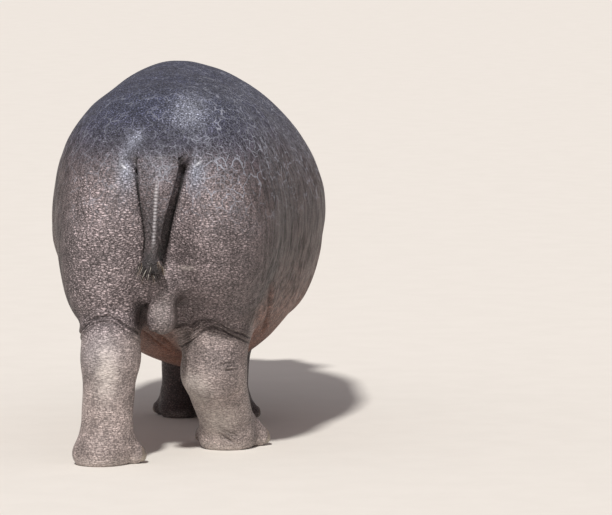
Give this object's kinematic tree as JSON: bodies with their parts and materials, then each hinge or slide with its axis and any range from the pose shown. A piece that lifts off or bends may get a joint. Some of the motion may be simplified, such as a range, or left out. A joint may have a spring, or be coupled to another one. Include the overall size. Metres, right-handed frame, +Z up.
{
  "type": "hippopotamus",
  "caption": "Life-size still model of an adult hippopotamus in mid-stride, with a barrel body, broad muzzle, short legs and a flat hanging tail.",
  "frame": {"origin": "on the floor, under the middle of the bounding box", "axes": "+X ahead, the way the animal faces and its longest extent; +Y its left side; +Z up"},
  "size_m": [3.17, 1.0812, 1.5035],
  "materials": {
    "skin": "thick, bare, damp hide, slate grey above and brown-pink below, finely crackled and wrinkled",
    "nail": "dull worn horn of the toenails",
    "eye": "wet dark brown eye"
  },
  "bodies": {
    "root": {"trunk": "skin", "rump": "skin", "neck": "skin", "tail": "skin", "lower_jaw": "skin", "head": "skin", "eye_left": "eye", "ear_left": "skin", "eye_right": "eye", "ear_right": "skin", "thigh_left": "skin", "shank_left": "skin", "hind_foot_left": "skin", "thigh_right": "skin", "shank_right": "skin", "hind_foot_right": "skin", "upper_arm_left": "skin", "forearm_left": "skin", "fore_foot_left": "skin", "upper_arm_right": "skin", "forearm_right": "skin", "fore_foot_right": "skin", "nail_hind_left_1": "nail", "nail_hind_left_2": "nail", "nail_hind_left_3": "nail", "nail_hind_left_4": "nail", "nail_hind_right_1": "nail", "nail_hind_right_2": "nail", "nail_hind_right_3": "nail", "nail_hind_right_4": "nail", "nail_fore_left_1": "nail", "nail_fore_left_2": "nail", "nail_fore_left_3": "nail", "nail_fore_left_4": "nail", "nail_fore_right_1": "nail", "nail_fore_right_2": "nail", "nail_fore_right_3": "nail", "nail_fore_right_4": "nail"}
  },
  "joints": []
}
